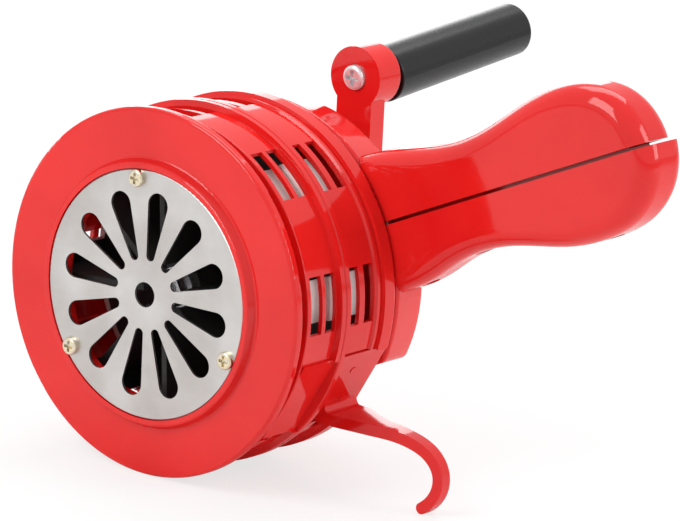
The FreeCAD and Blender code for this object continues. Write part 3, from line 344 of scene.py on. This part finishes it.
def make_plated(name, colour, tint, roughness, metallic=1.0):
    """Smooth metal with small blotches of a second tint and a fine grain."""
    plate = Finish(name, colour, metallic)
    blotches = spread(plate.tree, noise(plate, BLOTCH_MM, CLOUDY), CLOUD_EDGES, (0, 1))
    plate.drive("Base Color", blend(plate, blotches, colour, tint))
    grain = noise(plate, PLATE_GRAIN_MM, CLOUDY)
    around = (roughness - SMOOTHER, roughness + ROUGHER)
    plate.drive("Roughness", spread(plate.tree, grain, GRAIN_EDGES, around))
    bump(plate, grain, PLATE_DEPTH_MM)
    return plate.material


print("helper:", make_plated.__doc__)

# %% Plated and bare metals
METALS = {
    "yellow_zinc": dict(colour=(0.72, 0.62, 0.40), tint=(0.60, 0.56, 0.50), roughness=0.26),
    "bearing_steel": dict(colour=(0.58, 0.58, 0.60), tint=(0.50, 0.50, 0.52), roughness=0.22),
    "gear_steel": dict(colour=(0.30, 0.30, 0.31), tint=(0.20, 0.19, 0.18), roughness=0.35),
    "plated_steel": dict(colour=(0.62, 0.62, 0.64), tint=(0.52, 0.52, 0.53), roughness=0.28),
    "chrome": dict(colour=(0.80, 0.80, 0.82), tint=(0.70, 0.70, 0.72), roughness=0.20, metallic=0.55),
    "bronze": dict(colour=(0.50, 0.32, 0.14), tint=(0.40, 0.24, 0.10), roughness=0.40),
}
metals = {name: make_plated(name, **look) for name, look in METALS.items()}
print("finishes:", ", ".join(metals))

# %% [markdown]
# The rotor's cast aluminium
#
# The rotor is a casting. The outside of its rim is turned bright. Its vanes keep their duller cast skin,
# and their colour is also darkened to near black, which is painted shade for the inside of the drum.
# Two materials on one part would need its faces sorted by hand. The distance from the rotor's axis tells
# the two apart by itself, so one material changes from the shaded dark to bright within a fraction of a
# millimetre, just under the rim.

# %% Measure the rotor
rotor_low, rotor_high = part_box("rotor")
ROTOR_AXIS = tuple((rotor_low + rotor_high) / 2)
RIM_R = (rotor_high.x - rotor_low.x) / 2


def distance_from_axis(finish):
    """How far each point is from the rotor's axis, which runs along Y."""
    offset = add_node(finish.tree, "ShaderNodeVectorMath", {0: finish.place}, operation="SUBTRACT")
    offset.inputs[1].default_value = ROTOR_AXIS
    across = add_node(finish.tree, "ShaderNodeVectorMath", {0: offset.outputs[0]}, operation="MULTIPLY")
    across.inputs[1].default_value = (1, 0, 1)
    length = add_node(finish.tree, "ShaderNodeVectorMath", {0: across.outputs[0]}, operation="LENGTH")
    return length.outputs["Value"]


print("rotor's rim: radius in mm", round(RIM_R / MM, 1))

# %% Cast aluminium
TURNED = (0.86, 0.85, 0.83)
# Near black for the vanes: their duller cast skin, with painted shade for the dark inside of the drum
VANES_CAST_AND_SHADED = (0.05, 0.048, 0.046)
RIM_METALLIC = 0.25
PAINTED_SHADE_BELOW = RIM_R - 2.6 * MM
BRIGHT_ABOVE = RIM_R - 2.2 * MM
TURNED_ROUGHNESS = (0.4, 0.6)
TURNING_MM = 0.4
TURNING_DEPTH_MM = 0.01
ACROSS_Y = (0.3, 1, 0.3)


def make_cast_aluminium():
    """Bright where the rotor's rim was turned, near black on the vanes as cast skin and painted shade."""
    metal = Finish("cast_aluminium", TURNED, RIM_METALLIC)
    # The painted shade covers everything below the rim, and the turned bright colour lies above it
    shaded_inside = spread(metal.tree, distance_from_axis(metal), (PAINTED_SHADE_BELOW, BRIGHT_ABOVE), (1, 0))
    metal.drive("Base Color", blend(metal, shaded_inside, TURNED, VANES_CAST_AND_SHADED))
    marks = noise(metal, TURNING_MM, CLOUDY, ACROSS_Y)
    metal.drive("Roughness", spread(metal.tree, marks, GRAIN_EDGES, TURNED_ROUGHNESS))
    bump(metal, marks, TURNING_DEPTH_MM)
    return metal.material


cast_aluminium = make_cast_aluminium()
print("finish:", cast_aluminium.name, "bright from", round(BRIGHT_ABOVE / MM, 1), "mm outwards")

# %% [markdown]
# The black grip
#
# The grip is moulded plastic with a satin skin, so the light shows on it as a long soft band. A smooth
# black shader would look like lacquer. A fine grain from the mould makes the satin, and a slow wave keeps
# the band from being ruler straight.

# %% Black plastic
BLACK = (0.004, 0.004, 0.0045)
SATIN_SHINE = 0.3
SATIN_ROUGHNESS = (0.24, 0.38)
SATIN_GRAIN_MM = 0.35
SATIN_DEPTH_MM = 0.006
MOULDING_WAVE_MM = 9
MOULDING_DEPTH_MM = 0.03


def make_black_plastic():
    """Satin black plastic, as it leaves the mould."""
    plastic = Finish("black_plastic", BLACK)
    plastic.fix("Specular IOR Level", SATIN_SHINE)
    grain = noise(plastic, SATIN_GRAIN_MM, FINE)
    plastic.drive("Roughness", spread(plastic.tree, grain, GRAIN_EDGES, SATIN_ROUGHNESS))
    bump(plastic, grain, SATIN_DEPTH_MM)
    bump(plastic, noise(plastic, MOULDING_WAVE_MM, SMOOTH), MOULDING_DEPTH_MM)
    return plastic.material


black_plastic = make_black_plastic()
print("finish:", black_plastic.name, "with", len(black_plastic.node_tree.nodes), "nodes")

# %% [markdown]
# Dressing the parts
#
# In a workshop the drawing of each part names its finish. Here the record of each part names a slot in
# the same way. We could give each part its material by hand, but one table of finishes dresses them all,
# and a part that is added later finds its finish by itself.

# %% Dress the parts
FINISHES = {
    "red_enamel": red_enamel,
    "grille_steel": grille_steel,
    "cast_aluminium": cast_aluminium,
    "black_plastic": black_plastic,
    **metals,
}
SLOT_OF = {row["node"]: row["material_slot"] for row in frame["record"]["subparts"]}

for name, part in nodes.items():
    part.data.materials.clear()
    part.data.materials.append(FINISHES[SLOT_OF[name]])
print("dressed", len(nodes), "parts in", len(FINISHES), "finishes")

# %% [markdown]
# The rotor's skirt
#
# Through the third row of slots the real siren shows bright metal, so the rim of its rotor seems to run
# on past the back plate as a skirt. We could stretch the rotor, but a piece of its own that rides on the
# rotor keeps the frame as it is. The skirt is one short curved bar behind each piece of the rim. A bar is
# a row of four-cornered sections round the axis, joined side by side and closed at both ends.

# %% Skirt sections
SKIRT_LENGTH = 6.0 * MM
SKIRT_WALL = 2.6 * MM
SKIRT_GAP = 0.05 * MM
SKIRT_FRONT = rotor_high.y + SKIRT_GAP
SKIRT_BACK = SKIRT_FRONT + SKIRT_LENGTH
SECTION = ((RIM_R, SKIRT_FRONT), (RIM_R, SKIRT_BACK),
           (RIM_R - SKIRT_WALL, SKIRT_BACK), (RIM_R - SKIRT_WALL, SKIRT_FRONT))


def skirt_section(degrees):
    """The corners of the skirt's section, at an angle round the rotor's axis from +X towards +Z."""
    turn = math.radians(degrees)
    corners = []
    for radius, y in SECTION:
        x = ROTOR_AXIS[0] + radius * math.cos(turn)
        z = ROTOR_AXIS[2] + radius * math.sin(turn)
        corners.append((x, y, z))
    return corners


print("skirt in mm: from", round(SKIRT_FRONT / MM, 2), "to", round(SKIRT_BACK / MM, 2))

# %% Skirt bars
SKIRT_BARS = 8
# How far each bar reaches round the axis, and where the middle of the first one is, in degrees
SKIRT_ANGLE = 16.0
SKIRT_FIRST = 5.15
SKIRT_STEPS = 12
CORNERS = len(SECTION)


def bar_faces(first):
    """Faces of one closed bar whose first section starts at this vertex, all facing outwards."""
    last = first + CORNERS * SKIRT_STEPS
    faces = [(first + 3, first + 2, first + 1, first), (last, last + 1, last + 2, last + 3)]
    for near in range(first, last, CORNERS):
        far = near + CORNERS
        for side in range(CORNERS):
            after = (side + 1) % CORNERS
            faces.append((near + after, far + after, far + side, near + side))
    return faces


def make_rotor_skirt():
    """The bars of the skirt, one behind each piece of the rotor's rim."""
    vertices = []
    faces = []
    for bar in range(SKIRT_BARS):
        faces += bar_faces(len(vertices))
        middle = SKIRT_FIRST + 360 / SKIRT_BARS * bar
        for step in range(SKIRT_STEPS + 1):
            vertices += skirt_section(middle + SKIRT_ANGLE * (step / SKIRT_STEPS - 0.5))
    mesh = bpy.data.meshes.new("rotor_skirt")
    mesh.from_pydata(vertices, [], faces)
    mesh.materials.append(cast_aluminium)
    return put_in_scene("rotor_skirt", mesh)


skirt = make_rotor_skirt()
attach(skirt, "rotor")
print("skirt:", SKIRT_BARS, "bars,", len(skirt.data.polygons), "faces")

# %% [markdown]
# The surround
#
# A studio portrait has white all round, but white light from all round would wash the red out. We could
# light the siren less and brighten the picture later. Here the surround tells the rays apart instead: it
# is pure white to the camera and in reflections, and dimmer as light on the siren, so that the red keeps
# its depth.

# %% Surround
WHITE = (1, 1, 1, 1)
SURROUND_AS_LIGHT = 0.55
SURROUND_AS_SEEN = 1.0


def combine(tree, operation, first, second):
    """Join two numbers by one operation."""
    return add_node(tree, "ShaderNodeMath", {0: first, 1: second}, operation=operation).outputs[0]


def make_surround():
    """White to the camera, in mirrors and through glass, and dimmer as a light."""
    world = bpy.data.worlds.new("studio")
    world.use_nodes = True
    tree = world.node_tree
    rays = add_node(tree, "ShaderNodeLightPath").outputs
    seen = combine(tree, "MAXIMUM", rays["Is Camera Ray"], rays["Is Glossy Ray"])
    seen = combine(tree, "MAXIMUM", seen, rays["Is Transmission Ray"])
    strength = spread(tree, seen, (0, 1), (SURROUND_AS_LIGHT, SURROUND_AS_SEEN))
    background = tree.nodes["Background"]
    background.inputs["Color"].default_value = WHITE
    tree.links.new(strength, background.inputs["Strength"])
    bpy.context.scene.world = world
    return world


world = make_surround()
print("surround:", world.name, "gives", SURROUND_AS_LIGHT, "as light")

# %% [markdown]
# The floor
#
# The portrait shows no horizon, as when a thing stands on pale paper that runs on out of sight. A plain
# grey plane would show its edge, and a curved backdrop would need more room. Here the camera sees matt
# paint mixed with plain white light. Near the siren enough of the paint shows to keep a soft shadow, and
# farther away the white takes over. Every other ray sees the paint alone.

# %% Floor paint
FLOOR_GREY = (0.86, 0.86, 0.86)
FLOOR_ROUGHNESS = 0.9
FLOOR_SHINE = 0.1
GLOW_FROM_M = 0.25
GLOW_TO_M = 1.2
GLOW_NEAR = 0.72
GLOW_FAR = 1.0


def make_floor_paint():
    """Matt grey, which the camera sees mixed with more white the farther it is from the siren."""
    paint = Finish("floor", FLOOR_GREY)
    paint.fix("Roughness", FLOOR_ROUGHNESS)
    paint.fix("Specular IOR Level", FLOOR_SHINE)
    tree = paint.tree
    distance = add_node(tree, "ShaderNodeVectorMath", {0: paint.place}, operation="LENGTH").outputs["Value"]
    share = spread(tree, distance, (GLOW_FROM_M, GLOW_TO_M), (GLOW_NEAR, GLOW_FAR))
    seen = combine(tree, "MULTIPLY", share, add_node(tree, "ShaderNodeLightPath").outputs["Is Camera Ray"])
    glow = add_node(tree, "ShaderNodeEmission")
    mix = add_node(tree, "ShaderNodeMixShader", {0: seen, 1: paint.shader.outputs[0], 2: glow.outputs[0]})
    tree.links.new(mix.outputs[0], tree.nodes["Material Output"].inputs["Surface"])
    return paint.material


floor_paint = make_floor_paint()
print("floor paint:", len(floor_paint.node_tree.nodes), "nodes")

# %% Floor
FLOOR_REACH_M = 6.0


def make_floor(reach):
    """A flat square floor, centred under the siren."""
    mesh = bpy.data.meshes.new("floor")
    corners = [(-reach, -reach, 0), (reach, -reach, 0), (reach, reach, 0), (-reach, reach, 0)]
    mesh.from_pydata(corners, [], [(0, 1, 2, 3)])
    mesh.materials.append(floor_paint)
    return put_in_scene("floor", mesh)


floor = make_floor(FLOOR_REACH_M)
print("floor: reaches", FLOOR_REACH_M, "m each way")

# %% [markdown]
# The lamps
#
# Gloss shows what it reflects, so its lights are large and soft. A small lamp would leave a hard white
# dot on the enamel. Four softboxes stand round the siren: one lights the grille from the left, one fills
# the handle's side, one draws the band of light along the drum's top, and one behind parts the red from
# the white. Each is placed from the camera's own directions, so that it keeps its place in the portrait.

# %% Lamps
centre = (cad_low + cad_high) / 2


def make_lamp(name, right, up, toward, size, watts):
    """A soft lamp, placed by how many metres it stands right of, above and before the siren's middle."""
    data = bpy.data.lights.new(name, "AREA")
    data.shape = "RECTANGLE"
    data.size, data.size_y = size
    data.energy = watts
    lamp = put_in_scene(name, data)
    lamp.location = centre + view_right * right + view_up * up - view_ahead * toward
    lamp.rotation_euler = (centre - lamp.location).to_track_quat("-Z", "Y").to_euler()
    return lamp


lamps = [
    make_lamp("softbox_left", right=-0.9, up=0.75, toward=0.9, size=(0.7, 0.9), watts=11),
    make_lamp("softbox_right", right=1.1, up=0.35, toward=0.5, size=(0.5, 0.9), watts=7),
    make_lamp("softbox_top", right=0.1, up=1.2, toward=-0.25, size=(1.1, 0.6), watts=8),
    make_lamp("softbox_back", right=-0.3, up=0.6, toward=-1.2, size=(1.0, 0.7), watts=6),
]
print("lamps in watts:", {lamp.name: lamp.data.energy for lamp in lamps})

# %% [markdown]
# Colours as written
#
# The red above was tuned against the portrait. A filmic view would bend every colour a little, and each
# one would have to be tuned against the bend. The Standard view shows a colour as it is written, so what
# is tuned above is what is seen.

# %% Finish
bpy.context.scene.view_settings.view_transform = "Standard"
